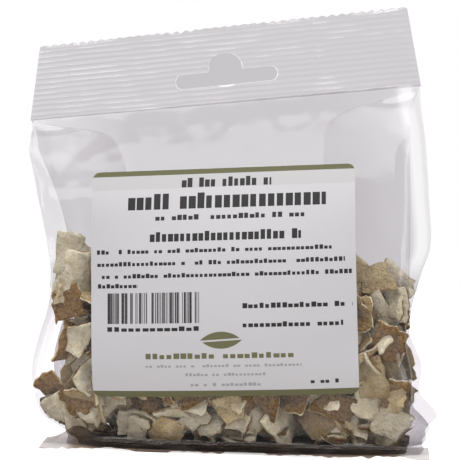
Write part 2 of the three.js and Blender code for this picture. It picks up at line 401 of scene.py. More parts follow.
def settlePeel(kinds):
    # each die is a stiff group of balls, and the balls push each other, the film and the core apart
    walls = wallTables(peel["clearance"])
    xs, zs, front, back, groove = walls
    which, places, turns = scatterPeel(kinds, walls)
    count = len(which)
    rests = [kind["balls"] for kind in kinds]
    owner = np.concatenate([np.full(len(rests[w]), n) for n, w in enumerate(which)])
    rest = np.concatenate([rests[w][:, :3] for w in which])
    radius = np.concatenate([rests[w][:, 3] for w in which])
    share = 1.0 / np.bincount(owner)[owner]

    def middles(values):
        return np.stack([np.bincount(owner, values[:, k] * share, count) for k in range(3)], 1)
    offsets = middles(rest)
    rest = rest - offsets[owner]
    points = np.einsum("nij,nj->ni", turns[owner], rest) + places[owner]
    for cycle in range(peel["rounds"]):
        points[:, 2] -= peel["sink"]
        first, second = touching(points, 2 * radius.max())
        apart = owner[first] != owner[second]
        first, second = first[apart], second[apart]
        gap = points[first] - points[second]
        span = np.linalg.norm(gap, axis=1) + 1e-9
        press = radius[first] + radius[second] - span
        hit = press > 0
        first, second, push = first[hit], second[hit], (gap[hit] / span[hit, None]) * press[hit, None] * 0.5
        shift = np.stack([np.bincount(first, push[:, k], len(points)) - np.bincount(second, push[:, k], len(points))
                          for k in range(3)], 1)
        points += np.clip(shift, -1.5, 1.5)
        x, y, z = points.T
        near, far, fold = (lookUp(table, x, z, xs, zs) for table in (front, back, groove))
        side = np.where(y >= 0, 1, -1)
        folded = fold > peel["clearance"] * 0.5
        inner = np.where(folded, np.maximum(side * y, fold + radius), side * y)
        limit = np.where(side > 0, far, -near) - radius
        inner = np.minimum(inner, np.maximum(limit, 0))
        tight = folded & (limit - fold < radius)
        x = x - np.where(tight, np.sign(x) * 0.8, 0)
        flat = ((x - core["middle"][0]) / (core["radii"][0] + radius)) ** 2
        flat = flat + ((z - core["middle"][2]) / (core["radii"][2] + radius)) ** 2
        bulge = np.sqrt(np.maximum(1 - flat, 0)) * (core["radii"][1] + radius)
        inner = np.minimum(np.maximum(inner, bulge), np.maximum(limit, 0))
        points = np.stack([x, side * inner, np.maximum(z, radius + 1.0)], 1)
        centre = middles(points)
        loose = points - centre[owner]
        form = np.zeros((count, 3, 3))
        for a in range(3):
            for b in range(3):
                form[:, a, b] = np.bincount(owner, loose[:, a] * rest[:, b], count)
        left, _, right = np.linalg.svd(form)
        left[:, :, 2] *= np.sign(np.linalg.det(left @ right))[:, None]
        turns = left @ right
        points = np.einsum("nij,nj->ni", turns[owner], rest) + centre[owner]
    print(f"  peel settled: deepest overlap {press[hit].max():.2f} mm, mean {press[hit].mean():.2f} mm")
    centre = centre - np.einsum("nij,nj->ni", turns, offsets)
    return [(which[n], turns[n], centre[n]) for n in range(count)]


def makePeel():
    # the dice and the slivers, each as one mesh, with what varies from one to the next as attributes
    kinds = [diceKind(n, n >= peel["kinds"] * 3 // 4) for n in range(peel["kinds"])]
    draw = random.Random(peel["seed"])
    groups = {"peelDice": [], "peelSlivers": []}
    xs, zs, front, back, _ = wallTables(peel["pressed"])
    for which, turn, place in settlePeel(kinds):
        moved = kinds[which]["points"] @ turn.T + place
        near, far = (lookUp(table, moved[:, 0], moved[:, 2], xs, zs) for table in (front, back))
        moved[:, 1] = np.clip(moved[:, 1], near, far)
        moved += np.array([*bagShape["shift"], 0])
        chances = draw.random(), draw.random()
        if moved[:, 2].max() < peel["ceiling"] and moved[:, 2].min() > 0.3:
            name = "peelDice" if which < peel["kinds"] * 3 // 4 else "peelSlivers"
            groups[name].append((moved * mm, kinds[which], *chances))
    return [joinedPeel(name, group) for name, group in groups.items()]


def joinedPeel(name, group):
    starts = np.cumsum([0] + [len(points) for points, *_ in group])
    faces = [tuple(int(start) + v for v in face) for start, (_, kind, *_) in zip(starts, group) for face in kind["faces"]]
    piece = trianglesOf(name, np.concatenate([points for points, *_ in group]).tolist(), faces)
    columns = {"zest": [kind["zest"] for _, kind, *_ in group],
               "tone": [np.full(len(points), tone) for points, _, tone, _ in group],
               "brown": [np.full(len(points), brown) for points, _, _, brown in group]}
    for column, values in columns.items():
        layer = piece.data.attributes.new(column, "FLOAT", "POINT")
        layer.data.foreach_set("value", np.concatenate(values))
    deselect()
    piece.select_set(True)
    bpy.context.view_layer.objects.active = piece
    bpy.ops.object.shade_smooth_by_angle(angle=math.radians(50))
    print(f"  {name}: {len(group)} of them, {len(faces)} faces")
    return piece


def makeCore():
    # the peel that nothing shows of, as one dark lump with relief
    deselect()
    bpy.ops.mesh.primitive_ico_sphere_add(subdivisions=5, radius=1)
    piece = bpy.context.object
    piece.name = piece.data.name = "peelCore"
    for point in piece.data.vertices:
        x, y, z = (m + r * p for m, r, p in zip(core["middle"], core["radii"], point.co))
        swell = 0.9 + 0.16 * noiseAt(x, y, z, 5) + 0.08 * noiseAt(x, y, z, 2.4, 7)
        x, y, z = (m + r * p * swell for m, r, p in zip(core["middle"], core["radii"], point.co))
        point.co = tilted(x, y, z)
    finishMesh(piece)
    return piece


# A dark bed lies under the dice, in the foot of the bag: painted shade for the shadow under the bag, in the dark finish
# of the core.
footShade = {"low": 0.3, "high": 2.6, "inset": 0.5, "ends": (-51, 61), "columns": 200, "rows": 24}


def makeFootShade():
    def place(across, up):
        side = abs(up - 0.5) < 0.15
        z = footShade["low"] if up < 0.35 else footShade["high"]
        if side:
            z = footShade["low"] + (footShade["high"] - footShade["low"]) * (up - 0.35) / 0.3
        s = roundedStep(across)
        x, y = skinPoint(s, z)
        inX, inY = inwardAt(s, z)
        x, y = min(max(x + inX * footShade["inset"], footShade["ends"][0]), footShade["ends"][1]), y + inY * footShade["inset"]
        spread = min(1, min(up, 1 - up) / 0.35)
        x, y = x * (0.75 + 0.25 * spread), y * spread
        if up > 0.5:
            z += 1.2 * noiseAt(x, y, 0, 4) + 0.8 * noiseAt(x, y, 0, 1.8, 5)
        bump = 0.4 * noiseAt(x, y, z, 2.2, 8) if side else 0
        return tilted(x + inX * bump, y + inY * bump, z)
    piece = sheetOf("peelFootShade", footShade["columns"], footShade["rows"], place)
    finishMesh(piece)
    return piece


def drawnIn(peelPieces):
    # for each point of the skin, how far it is drawn in towards the peel, smoothed over its neighbours
    points, faces = [], []
    for piece in peelPieces:
        start = len(points)
        points += [v.co for v in piece.data.vertices]
        faces += [tuple(start + v for v in face.vertices) for face in piece.data.polygons]
    tree = BVHTree.FromPolygons(points, faces)
    depth = np.zeros((film["rows"] + 1, film["columns"] + 1))
    for row in range(film["rows"] + 1):
        z = bagShape["height"][-1] * row / film["rows"]
        fade = smoothStep(z, 92, 60) if z > 60 else 1
        for column in range(film["columns"] + 1):
            s = roundedStep(column / film["columns"])
            inX, inY = inwardAt(s, z)
            x, y = skinPoint(s, z)
            place = tilted(x - inX * 0.6, y - inY * 0.6, z)
            hit = tree.ray_cast(place, Vector((inX, inY, 0)), film["reach"] * mm)
            distance = film["cling"] if hit[3] is None else hit[3] / mm - 0.75
            covered = s < 1 and abs(x) < label["width"] / 2 and abs(z - label["middle"][1]) < label["height"] / 2
            limit = film["underLabel"] if covered else film["cling"]
            depth[row, column] = max(-0.1, min(distance, limit)) * fade
    for _ in range(2):
        wide = np.pad(depth, ((1, 1), (0, 0)), mode="edge")
        depth = (wide[:-2] + wide[1:-1] + wide[2:]) / 3
        wide = np.concatenate([depth[:, -2:-1], depth, depth[:, 1:2]], axis=1)
        depth = (wide[:, :-2] + wide[:, 1:-1] + wide[:, 2:]) / 3
    return depth


def makeFilm(peelPieces):
    depth = drawnIn(peelPieces)
    top = bagShape["height"][-1]

    def place(across, up):
        column, row = round(across * film["columns"]), round(up * film["rows"])
        s, z = roundedStep(across), up * top
        x, y = skinPoint(s, z)
        inX, inY = inwardAt(s, z)
        free = smoothStep(z, 52, 84) * smoothStep(top - z, 0, 8)
        dent = film["wrinkle"] * (noiseAt(x, y, z, 9) + 0.5 * noiseAt(x, y, z, 4, 3)) * (0.4 + free)
        dent += film["pucker"] * free * smoothStep(z, 84, 108) * noiseAt(x, y, z * 0.25, 6, 5)
        deep = depth[row, column] + dent
        keep = smoothStep(top - z, 0, 3)
        deep *= keep * smoothStep(z, 0, 4)
        return tilted(x + inX * deep, y + inY * deep, z)
    piece = sheetOf("bagFilm", film["columns"], film["rows"], place)
    marks, shares = zip(*film["veil"])
    veil = []
    for n in range(len(piece.data.vertices)):
        s = roundedStep(n % (film["columns"] + 1) / film["columns"])
        z = n // (film["columns"] + 1) / film["rows"] * top
        # painted shade: the film darker towards the bottom, all round but the middle of the front
        low = film["paintedLowShade"] * smoothStep(z, *film["paintedLowShadeFade"]) * smoothStep(abs(s - 0.5), 0.42, 0.49)
        veil.append(max(np.interp(s, marks, shares), low))
    piece.data.attributes.new("veil", "FLOAT", "POINT").data.foreach_set("value", veil)
    closeFoot(piece)
    finishMesh(piece, 50)
    return piece


def closeFoot(piece):
    # the seam is merged and the lowest ring is filled
    bpy.ops.object.mode_set(mode="EDIT")
    bpy.ops.mesh.select_all(action="SELECT")
    bpy.ops.mesh.remove_doubles(threshold=0.00001)
    bpy.ops.mesh.select_all(action="DESELECT")
    bpy.ops.object.mode_set(mode="OBJECT")
    lowest = min(point.co.z for point in piece.data.vertices)
    for point in piece.data.vertices:
        point.select = point.co.z < lowest + 0.01 * mm
    bpy.ops.object.mode_set(mode="EDIT")
    bpy.ops.mesh.select_mode(type="VERT")
    bpy.ops.mesh.edge_face_add()
    bpy.ops.mesh.quads_convert_to_tris()
    bpy.ops.object.mode_set(mode="OBJECT")


# The header is the sealed top of the bag: flat, ribbed across by the sealing jaws and cut in a zigzag.
header = {
    "lowerLeft": (-72.0, 0, 112.2),
    "lowerRight": (65, 0, 122.9),
    "upperLeft": (-68.9, 2, 138.6),
    "upperRight": (60, 2, 150),
    "thick": 0.16,
    "ribs": 13,
    "ribFrom": 0.02,
    "ribTo": 0.93,
    "ribDepth": 0.15,
    "teeth": 38,
    "toothDepth": 0.8,
    "columnsPerTooth": 4,
    "rows": 104,
    "folds": ((0.10, 0.3), (0.27, 0.45), (0.385, 0.3), (0.405, 0.3), (0.74, 0.6), (0.90, 0.4)),
    "foldWidth": 0.006,
    "slotMiddle": (-1.8, 126.6),
    "slotTurn": 5.2,
    "slotWidth": 36,
    "slotHeight": 5.2,
    "bumpWidth": 12,
    "bumpHeight": 5.8,
}


def headerPoint(across, up):
    low = Vector(header["lowerLeft"]).lerp(Vector(header["lowerRight"]), across)
    high = Vector(header["upperLeft"]).lerp(Vector(header["upperRight"]), across)
    return low.lerp(high, up)


def makeHeader():
    span = header["ribTo"] - header["ribFrom"]

    def place(across, up):
        point = headerPoint(across, up)
        tooth = abs(2 * ((across * header["teeth"]) % 1) - 1)
        jag = header["toothDepth"] * (0.75 + 0.6 * noiseAt(point.x, 0, 0, 9, 1))
        point.z -= jag * tooth * smoothStep(up, 0.95, 1)
        rib = (up - header["ribFrom"]) / span * header["ribs"]
        ridge = math.sin(math.pi * (rib % 1)) ** 2 if 0 < rib < header["ribs"] else 0
        smoothBand = smoothStep(abs(across - 0.53), 0.15, 0.13) * smoothStep(abs(up - 0.43), 0.07, 0.04)
        point.y -= header["ribDepth"] * ridge * (1 - 0.6 * across + 0.3 * noiseAt(point.x, 0, point.z, 12)) * (1 - smoothBand)
        for middle, height in header["folds"]:
            sway = middle + 0.004 * noiseAt(0, 0, point.z, 8, middle * 20)
            point.y -= height * math.exp(-((across - sway) / header["foldWidth"]) ** 2)
        edge = smoothStep(min(up, 1 - up, across, 1 - across), 0, 0.05)
        point.y += (0.7 * noiseAt(point.x, 0, point.z, 22, 2) + 0.25 * noiseAt(point.x, 0, point.z, 6, 9)) * edge
        dx, dy = bagShape["shift"]
        return Vector((point.x + dx, point.y + dy + 0.2, point.z)) * mm
    columns = header["teeth"] * header["columnsPerTooth"]
    piece = sheetOf("headerSeal", columns, header["rows"], place)
    # the ribs are tinted darker than the grooves, most at the left: painted light and shade that draws the ribs out
    veil = []
    for n in range(len(piece.data.vertices)):
        across, up = n % (columns + 1) / columns, n // (columns + 1) / header["rows"]
        rib = (up - header["ribFrom"]) / span * header["ribs"]
        wave = 0.5 - 0.5 * math.cos(2 * math.pi * rib) if 0 < rib < header["ribs"] else 0.5
        veil.append(0.5 + 0.8 * (wave - 0.5) * (1 - 0.65 * across + 0.5 * noiseAt(across * 100, 0, up * 20, 14, 3)))
    piece.data.attributes.new("veil", "FLOAT", "POINT").data.foreach_set("value", veil)
    applied(piece, "SOLIDIFY", thickness=header["thick"] * mm, offset=0)
    for number, cutter in enumerate(slotCutters()):
        applied(piece, "BOOLEAN", operation="DIFFERENCE", solver="EXACT", object=cutter)
        bpy.data.objects.remove(cutter, do_unlink=True)
    finishMesh(piece, 40)
    return piece


def slotCutters():
    # the hanging slot: a long bar with round ends, and a wider bump in the middle of its top
    turn = math.radians(header["slotTurn"])
    dx, dy = bagShape["shift"]
    cutters = []
    for width, height, lift in ((header["slotWidth"], header["slotHeight"], 0),
                                (header["bumpWidth"], header["bumpHeight"] * 2, header["slotHeight"] / 2)):
        deselect()
        bpy.ops.mesh.primitive_cube_add(size=1)
        cutter = bpy.context.object
        for point in cutter.data.vertices:
            point.co = Vector((point.co.x * width, point.co.y * 12, point.co.z * height))
        bpy.ops.object.mode_set(mode="EDIT")
        bpy.ops.mesh.select_mode(type="EDGE")
        bpy.ops.mesh.select_all(action="DESELECT")
        bpy.ops.object.mode_set(mode="OBJECT")
        for edge in cutter.data.edges:
            a, b = (cutter.data.vertices[v].co for v in edge.vertices)
            edge.select = abs(a.y - b.y) > 1
        bpy.ops.object.mode_set(mode="EDIT")
        bpy.ops.mesh.bevel(offset=min(height, width) * 0.46, segments=8)
        bpy.ops.object.mode_set(mode="OBJECT")
        for point in cutter.data.vertices:
            x, z = point.co.x, point.co.z + lift
            point.co = Vector((header["slotMiddle"][0] + x * math.cos(turn) - z * math.sin(turn) + dx, point.co.y,
                               header["slotMiddle"][1] + x * math.sin(turn) + z * math.cos(turn))) * mm
        cutters.append(cutter)
    return cutters


# The fin is the sealed foot, folded forward under the bag, with an ear at each end.
fin = {
    "lowerLeft": (-62.8, -23.0, 0.1),
    "lowerRight": (69.6, -23.0, 0.1),
    "upperLeft": (-59.5, -22.6, 4.0),
    "upperRight": (69.0, -22.6, 4.4),
    "ear": 4.2,
    "ragged": 2.0,
    # where the fin is tinted dark by x, as painted shade
    "shadedSpan": (-51, 60),
    "thick": 0.4,
    "ribs": 5,
    "ribDepth": 0.16,
    "columns": 240,
    "rows": 44,
}


def makeFin():
    def place(across, up):
        low = Vector(fin["lowerLeft"]).lerp(Vector(fin["lowerRight"]), across)
        high = Vector(fin["upperLeft"]).lerp(Vector(fin["upperRight"]), across)
        slow, quick = noiseAt(low.x, 0, 0, 16, 4), noiseAt(low.x, 0, 0, 2.6, 9)
        low.z += fin["ragged"] * max(0, 0.25 + 0.9 * slow + 0.3 * quick) * smoothStep(abs(across - 0.5), 0.5, 0.42)
        high.z += fin["ear"] * math.exp(-((across - 0.085) / 0.045) ** 2)
        point = low.lerp(high, up)
        ridge = math.sin(math.pi * (up - 0.45) / 0.5 * fin["ribs"]) ** 2 if 0.45 < up < 0.95 else 0
        point.y -= fin["ribDepth"] * ridge
        point.y += 0.5 * noiseAt(point.x, 0, point.z, 9, 6) * (1 - up) + 0.35
        dx, dy = bagShape["shift"]
        return Vector((point.x + dx, point.y + dy, max(point.z, 0.25))) * mm
    piece = sheetOf("footSeal", fin["columns"], fin["rows"], place)
    # between the ears the fin is tinted dark: painted shade for the shadow under the bag
    low, high = fin["shadedSpan"]
    veil = [smoothStep(point.co.x / mm, low - 2, low + 2) * smoothStep(point.co.x / mm, high + 2, high - 2)
            for point in piece.data.vertices]
    piece.data.attributes.new("veil", "FLOAT", "POINT").data.foreach_set("value", veil)
    applied(piece, "SOLIDIFY", thickness=fin["thick"] * mm, offset=0)
    finishMesh(piece, 40)
    return piece


# The label is a paper sticker on the front panel.
label = {
    "width": 90,
    "height": 75.6,
    "corner": 2.6,
    "middle": (0.1, 57.5),
    "turn": 2,
    "thick": 0.25,
    "gap": 0.95,
    "columns": 90,
    "rows": 76,
}


def rounded(x, y, width, height, corner):
    # a rectangle's corner squares are pressed into quarter discs
    u = (abs(x) - (width / 2 - corner)) / corner
    v = (abs(y) - (height / 2 - corner)) / corner
    if u <= 0 or v <= 0:
        return x, y
    across, up = u * math.sqrt(1 - v * v / 2), v * math.sqrt(1 - u * u / 2)
    return math.copysign(width / 2 - corner + across * corner, x), math.copysign(height / 2 - corner + up * corner, y)


def frontAt(x, z):
    # the front panel's depth at a place, by halving the way along the panel
    low, high = 0.0, 0.9999
    for _ in range(24):
        middle = (low + high) / 2
        if ringPoint(middle, z)[0] < x:
            low = middle
        else:
            high = middle
    return ringPoint(low, z)[1]


def makeLabel():
    turn = math.radians(label["turn"])
    spots = []

    def place(across, up):
        x, y = (across - 0.5) * label["width"], (up - 0.5) * label["height"]
        x, y = rounded(x, y, label["width"], label["height"], label["corner"])
        spots.append((x / label["width"] + 0.5, y / label["height"] + 0.5))
        px = label["middle"][0] + x * math.cos(turn) - y * math.sin(turn)
        pz = label["middle"][1] + x * math.sin(turn) + y * math.cos(turn)
        ripple = 0.12 * noiseAt(px, 0, pz, 16, 3)
        spot = tilted(px, frontAt(px, pz) - label["gap"] + ripple, pz)
        return Vector((spot.x, spot.y, pz * mm))
    piece = sheetOf("labelPaper", label["columns"], label["rows"], place)
    layer = piece.data.uv_layers.active or piece.data.uv_layers.new(name="UVMap")
    for loop in piece.data.loops:
        layer.data[loop.index].uv = spots[loop.vertex_index]
    applied(piece, "SOLIDIFY", thickness=label["thick"] * mm, offset=0)
    finishMesh(piece, 40)
    # only the face away from the film is printed
    printSide = [float(face.normal.y < -0.3) for face in piece.data.polygons]
    piece.data.attributes.new("printSide", "FLOAT", "FACE").data.foreach_set("value", printSide)
    return piece


# A tongue of film still hangs in the slot by its lower edge and leans back.
tongue = {"gap": 0.1, "lean": 0.35, "thick": 0.12, "columns": 72, "rows": 16}


def makeTongue():
    turn = math.radians(header["slotTurn"])
    dx, dy = bagShape["shift"]
    half, low = header["slotWidth"] / 2 - tongue["gap"], -header["slotHeight"] / 2 + 0.1
    arm, corner = header["slotHeight"] / 2 - tongue["gap"], header["slotHeight"] * 0.46
    bump = header["bumpHeight"] * 2 * 0.46

    def place(across, up):
        x = (2 * across - 1) * half
        inner = max(0, corner - (half - abs(x))) / corner
        edge = 1 - corner / arm * (1 - math.sqrt(max(0, 1 - inner * inner)))
        reach = min(1, max(0, abs(x) - header["bumpWidth"] / 2 + bump) / bump)
        crest = header["slotHeight"] / 2 + header["bumpHeight"] - bump * (1 - math.sqrt(1 - reach * reach)) - tongue["gap"]
        high = crest if abs(x) < header["bumpWidth"] / 2 - tongue["gap"] else arm * edge
        z = low * edge + up * (high - low * edge)
        depth = 0.35 + tongue["lean"] * up * (0.7 + 0.3 * noiseAt(x, 0, z, 9, 2))
        return Vector((header["slotMiddle"][0] + x * math.cos(turn) - z * math.sin(turn) + dx, depth + dy,
                       header["slotMiddle"][1] + x * math.sin(turn) + z * math.cos(turn))) * mm
    piece = sheetOf("slotTongue", tongue["columns"], tongue["rows"], place)
    piece.data.attributes.new("veil", "FLOAT", "POINT").data.foreach_set("value", [1.0] * len(piece.data.vertices))
    applied(piece, "SOLIDIFY", thickness=tongue["thick"] * mm, offset=0)
    finishMesh(piece, 40)
    return piece


class Wire:
    # a node's socket that adds Math nodes when it is used in a sum
    def __init__(self, make, socket):
        self.make, self.socket = make, socket

    def math(self, operation, *others):
        return self.make.maths(operation, self, *others)

    def __add__(self, other):
        return self.math("ADD", other)

    def __sub__(self, other):
        return self.math("SUBTRACT", other)

    def __rsub__(self, other):
        return self.make.maths("SUBTRACT", other, self)

    def __mul__(self, other):
        return self.math("MULTIPLY", other)

    def __truediv__(self, other):
        return self.math("DIVIDE", other)

    def __gt__(self, other):
        return self.math("GREATER_THAN", other)

    def __lt__(self, other):
        return self.math("LESS_THAN", other)

    __radd__, __rmul__ = __add__, __mul__


class Finish:
    # one material and its nodes
    def __init__(self, name):
        self.material = bpy.data.materials.new(name)
        self.material.use_nodes = True
        self.tree = self.material.node_tree
        self.tree.nodes.clear()

    def add(self, kind, settings=None, inputs=None, output=0):
        node = self.tree.nodes.new("ShaderNode" + kind)
        for name, value in (settings or {}).items():
            if name == "stops":
                while len(node.color_ramp.elements) < len(value):
                    node.color_ramp.elements.new(1)
                for element, (place, colour) in zip(node.color_ramp.elements, value):
                    element.position, element.color = place, (*colour, 1)
            else:
                setattr(node, name, value)
        for name, value in (inputs or {}).items():
            if isinstance(value, Wire):
                self.tree.links.new(value.socket, node.inputs[name])
            else:
                node.inputs[name].default_value = value
        return Wire(self, node.outputs[output])

    def maths(self, operation, *values):
        return self.add("Math", {"operation": operation}, dict(enumerate(values)))

    def mix(self, factor, first, second, blend="MIX"):
        # of two colours
        settings = {"data_type": "RGBA", "blend_type": blend}
        first, second = (value if isinstance(value, Wire) else (*value, 1) for value in (first, second))
        return self.add("Mix", settings, {0: factor, 6: first, 7: second}, 2)

    def step(self, value, low, high):
        # a smooth step from 0 at low to 1 at high
        return self.add("MapRange", {"interpolation_type": "SMOOTHSTEP"},
                        {"Value": value, "From Min": low, "From Max": high})

    def noise(self, where, scale, detail=2, rough=0.5, stretch=(1, 1, 1)):
        where = self.add("Mapping", {}, {"Vector": where, "Scale": tuple(scale * part for part in stretch)})
        return self.add("TexNoise", {}, {"Vector": where, "Scale": 1.0, "Detail": detail, "Roughness": rough})

    def place(self):
        return self.add("TexCoord", {}, {}, "Object")

    def attribute(self, name):
        return self.add("Attribute", {"attribute_name": name}, {}, "Fac")

    def bump(self, height, strength, distance):
        return self.add("Bump", {}, {"Height": height, "Strength": strength, "Distance": distance * mm})

    def surface(self, shader):
        final = self.tree.nodes.new("ShaderNodeOutputMaterial")
        self.tree.links.new(shader.socket, final.inputs["Surface"])
        return self.material


# Colours are linear.
filmLook = {
    "clear": (0.982, 0.977, 0.983),
    "dim": (0.62, 0.602, 0.622),
    "seal": (0.855, 0.84, 0.857),
    # the header's ribs take this darker tint as painted shade; the tongue takes it whole
    "rib": (0.78, 0.765, 0.783),
    "foot": (0.70, 0.68, 0.675),
    # the dark tint in the middle of the fin: painted shade
    "finShade": (0.48, 0.41, 0.36),
    "haze": (0.9, 0.9, 0.9),
    "gloss": (0.95, 0.95, 0.95),
    "edgeOn": 0.4,
}


def filmFinish(name, look):
    make = Finish(name)
    where = make.place()
    normal = make.bump(make.noise(where, 110, 2), look["wrinkle"], 0.4)
    # a sheet without a veil is as bright all over
    bright = make.add("BsdfTransparent", {}, {"Color": (*filmLook[look["bright"]], 1)})
    dim = make.add("BsdfTransparent", {}, {"Color": (*filmLook[look["dim"]], 1)})
    clear = make.add("MixShader", {}, {0: make.attribute("veil"), 1: bright, 2: dim})
    haze = make.add("BsdfDiffuse", {}, {"Color": (*filmLook["haze"], 1), "Normal": normal})
    gloss = make.add("BsdfGlossy", {}, {"Color": (*filmLook["gloss"], 1), "Roughness": look["rough"], "Normal": normal})
    body = make.add("MixShader", {}, {0: look["haze"], 1: clear, 2: haze})
    facing = make.add("LayerWeight", {}, {"Blend": 0.5, "Normal": normal}, "Facing")
    share = look["headOn"] + (filmLook["edgeOn"] - look["headOn"]) * facing.math("POWER", 5.0)
    return make.surface(make.add("MixShader", {}, {0: share, 1: body, 2: gloss}))


peelLook = {
    "pith": (0.69, 0.595, 0.42),
    "pithPale": (0.84, 0.765, 0.60),
    "pithStain": (0.36, 0.28, 0.155),
    "zest": (0.31, 0.19, 0.09),
    "zestPale": (0.60, 0.485, 0.285),
    "zestRust": (0.15, 0.082, 0.036),
    "shade": (0.6, 0.46),
}


def peelFinish():
    make = Finish("driedPeel")
    where = make.place()
    tone, brown, side = make.attribute("tone"), make.attribute("brown"), make.attribute("zest")
    soft = make.noise(where, 220, 3)
    fine = make.noise(where, 1000, 3, 0.65)
    pith = make.mix(make.step(soft + fine * 0.5, 0.55, 0.95), peelLook["pith"], peelLook["pithPale"])
    pith = make.mix(make.step(make.noise(where, 150, 3) + tone * 0.35, 0.66, 0.95) * 0.75, pith, peelLook["pithStain"])
    browned = make.step(brown, 1 - peel["brownShare"] - 0.12, 1 - peel["brownShare"] + 0.12)
    zest = make.mix(make.step(soft, 0.35, 0.7) * 0.6, peelLook["zestPale"], peelLook["zest"])
    zest = make.mix(browned, zest, make.mix(make.step(fine, 0.35, 0.7), peelLook["zest"], peelLook["zestRust"]))
    pores = make.add("TexVoronoi", {}, {"Vector": where, "Scale": 1100.0}, "Distance")
    zest = make.mix(make.step(pores, 0.28, 0.05) * 0.45, zest, peelLook["zestRust"])
    colour = make.mix(make.step(side + (soft - 0.5) * 0.5, 0.45, 0.7), pith, zest)
    rim = make.step(side, 0.35, 0.6) * make.step(side, 0.98, 0.8)
    dots = rim * make.step(pores, 0.5, 0.2)
    colour = make.mix(dots * 0.85, colour, peelLook["zestRust"])
    colour = make.mix(rim * 0.5, colour, peelLook["zest"])
    colour = make.mix(make.step(fine, 0.5, 0.2) * 0.35, colour, peelLook["pithStain"])
    shade = peelLook["shade"][0] + tone * peelLook["shade"][1]
    colour = make.mix(1.0, colour, make.add("CombineColor", {}, {0: shade, 1: shade, 2: shade}), "MULTIPLY")
    relief = fine * 0.5 + make.noise(where, 450, 3) * 1.0 - make.step(pores, 0.3, 0.0) * side * 0.4
    normal = make.bump(relief, 0.95, 1.4)
    shader = make.add("BsdfPrincipled", {}, {"Base Color": colour, "Roughness": 0.82, "Normal": normal,
                                             "Specular IOR Level": 0.25})
    return make.surface(shader)


def coreFinish():
    make = Finish("peelShade")
    where = make.place()
    colour = make.mix(make.noise(where, 300, 4), (0.03, 0.019, 0.011), (0.14, 0.095, 0.052))
    normal = make.bump(make.noise(where, 350, 3), 0.8, 1.0)
    return make.surface(make.add("BsdfPrincipled", {}, {"Base Color": colour, "Roughness": 0.95, "Normal": normal}))


# The print is fields of colour and rows of small marks, in mm from the label's lower left corner.
printed = {
    "paper": (0.53, 0.515, 0.54),
    "band": (0.115, 0.11, 0.05),
    "ink": (0.02, 0.02, 0.02),
    "leaf": (0.135, 0.13, 0.065),
    "grey": (0.30, 0.30, 0.30),
    "strip": (0.485, 0.47, 0.48),
    # rows of marks: left, right, low, high, pitch, weight
    "rows": (
        (31.1, 61.9, 69.2, 72.8, 2.0, 0.8),
        (12.6, 80.3, 62.2, 67.6, 3.0, 1.0),
        (20.4, 73.1, 58.2, 60.6, 1.9, 0.5),
        (20.5, 72.0, 51.3, 54.8, 2.1, 0.9),
        (2.0, 82.1, 47.3, 49.4, 1.55, 0.42),
        (2.1, 86.4, 43.2, 45.3, 1.55, 0.42),
        (2.2, 88.6, 39.1, 41.2, 1.55, 0.42),
        (2.3, 16.5, 35.9, 38.0, 1.55, 0.42),
        (5.6, 38.0, 21.4, 23.6, 2.5, 0.42),
        (52.2, 88.6, 28.5, 30.8, 1.9, 0.5),
        (52.2, 85.4, 22.3, 24.6, 1.9, 0.5),
        (74.2, 85.1, 3.6, 5.4, 1.6, 0.5),
    ),
    "greyRows": (
        (19.0, 71.6, 9.5, 10.9, 1.3, 0.4),
        (31.3, 59.6, 6.6, 8.0, 1.3, 0.4),
        (32.7, 58.3, 3.2, 4.7, 1.5, 0.45),
    ),
    "leafRow": (19.0, 71.7, 12.3, 14.6, 2.4, 0.62),
    "bars": (5.9, 38.0, 24.4, 34.6),
}


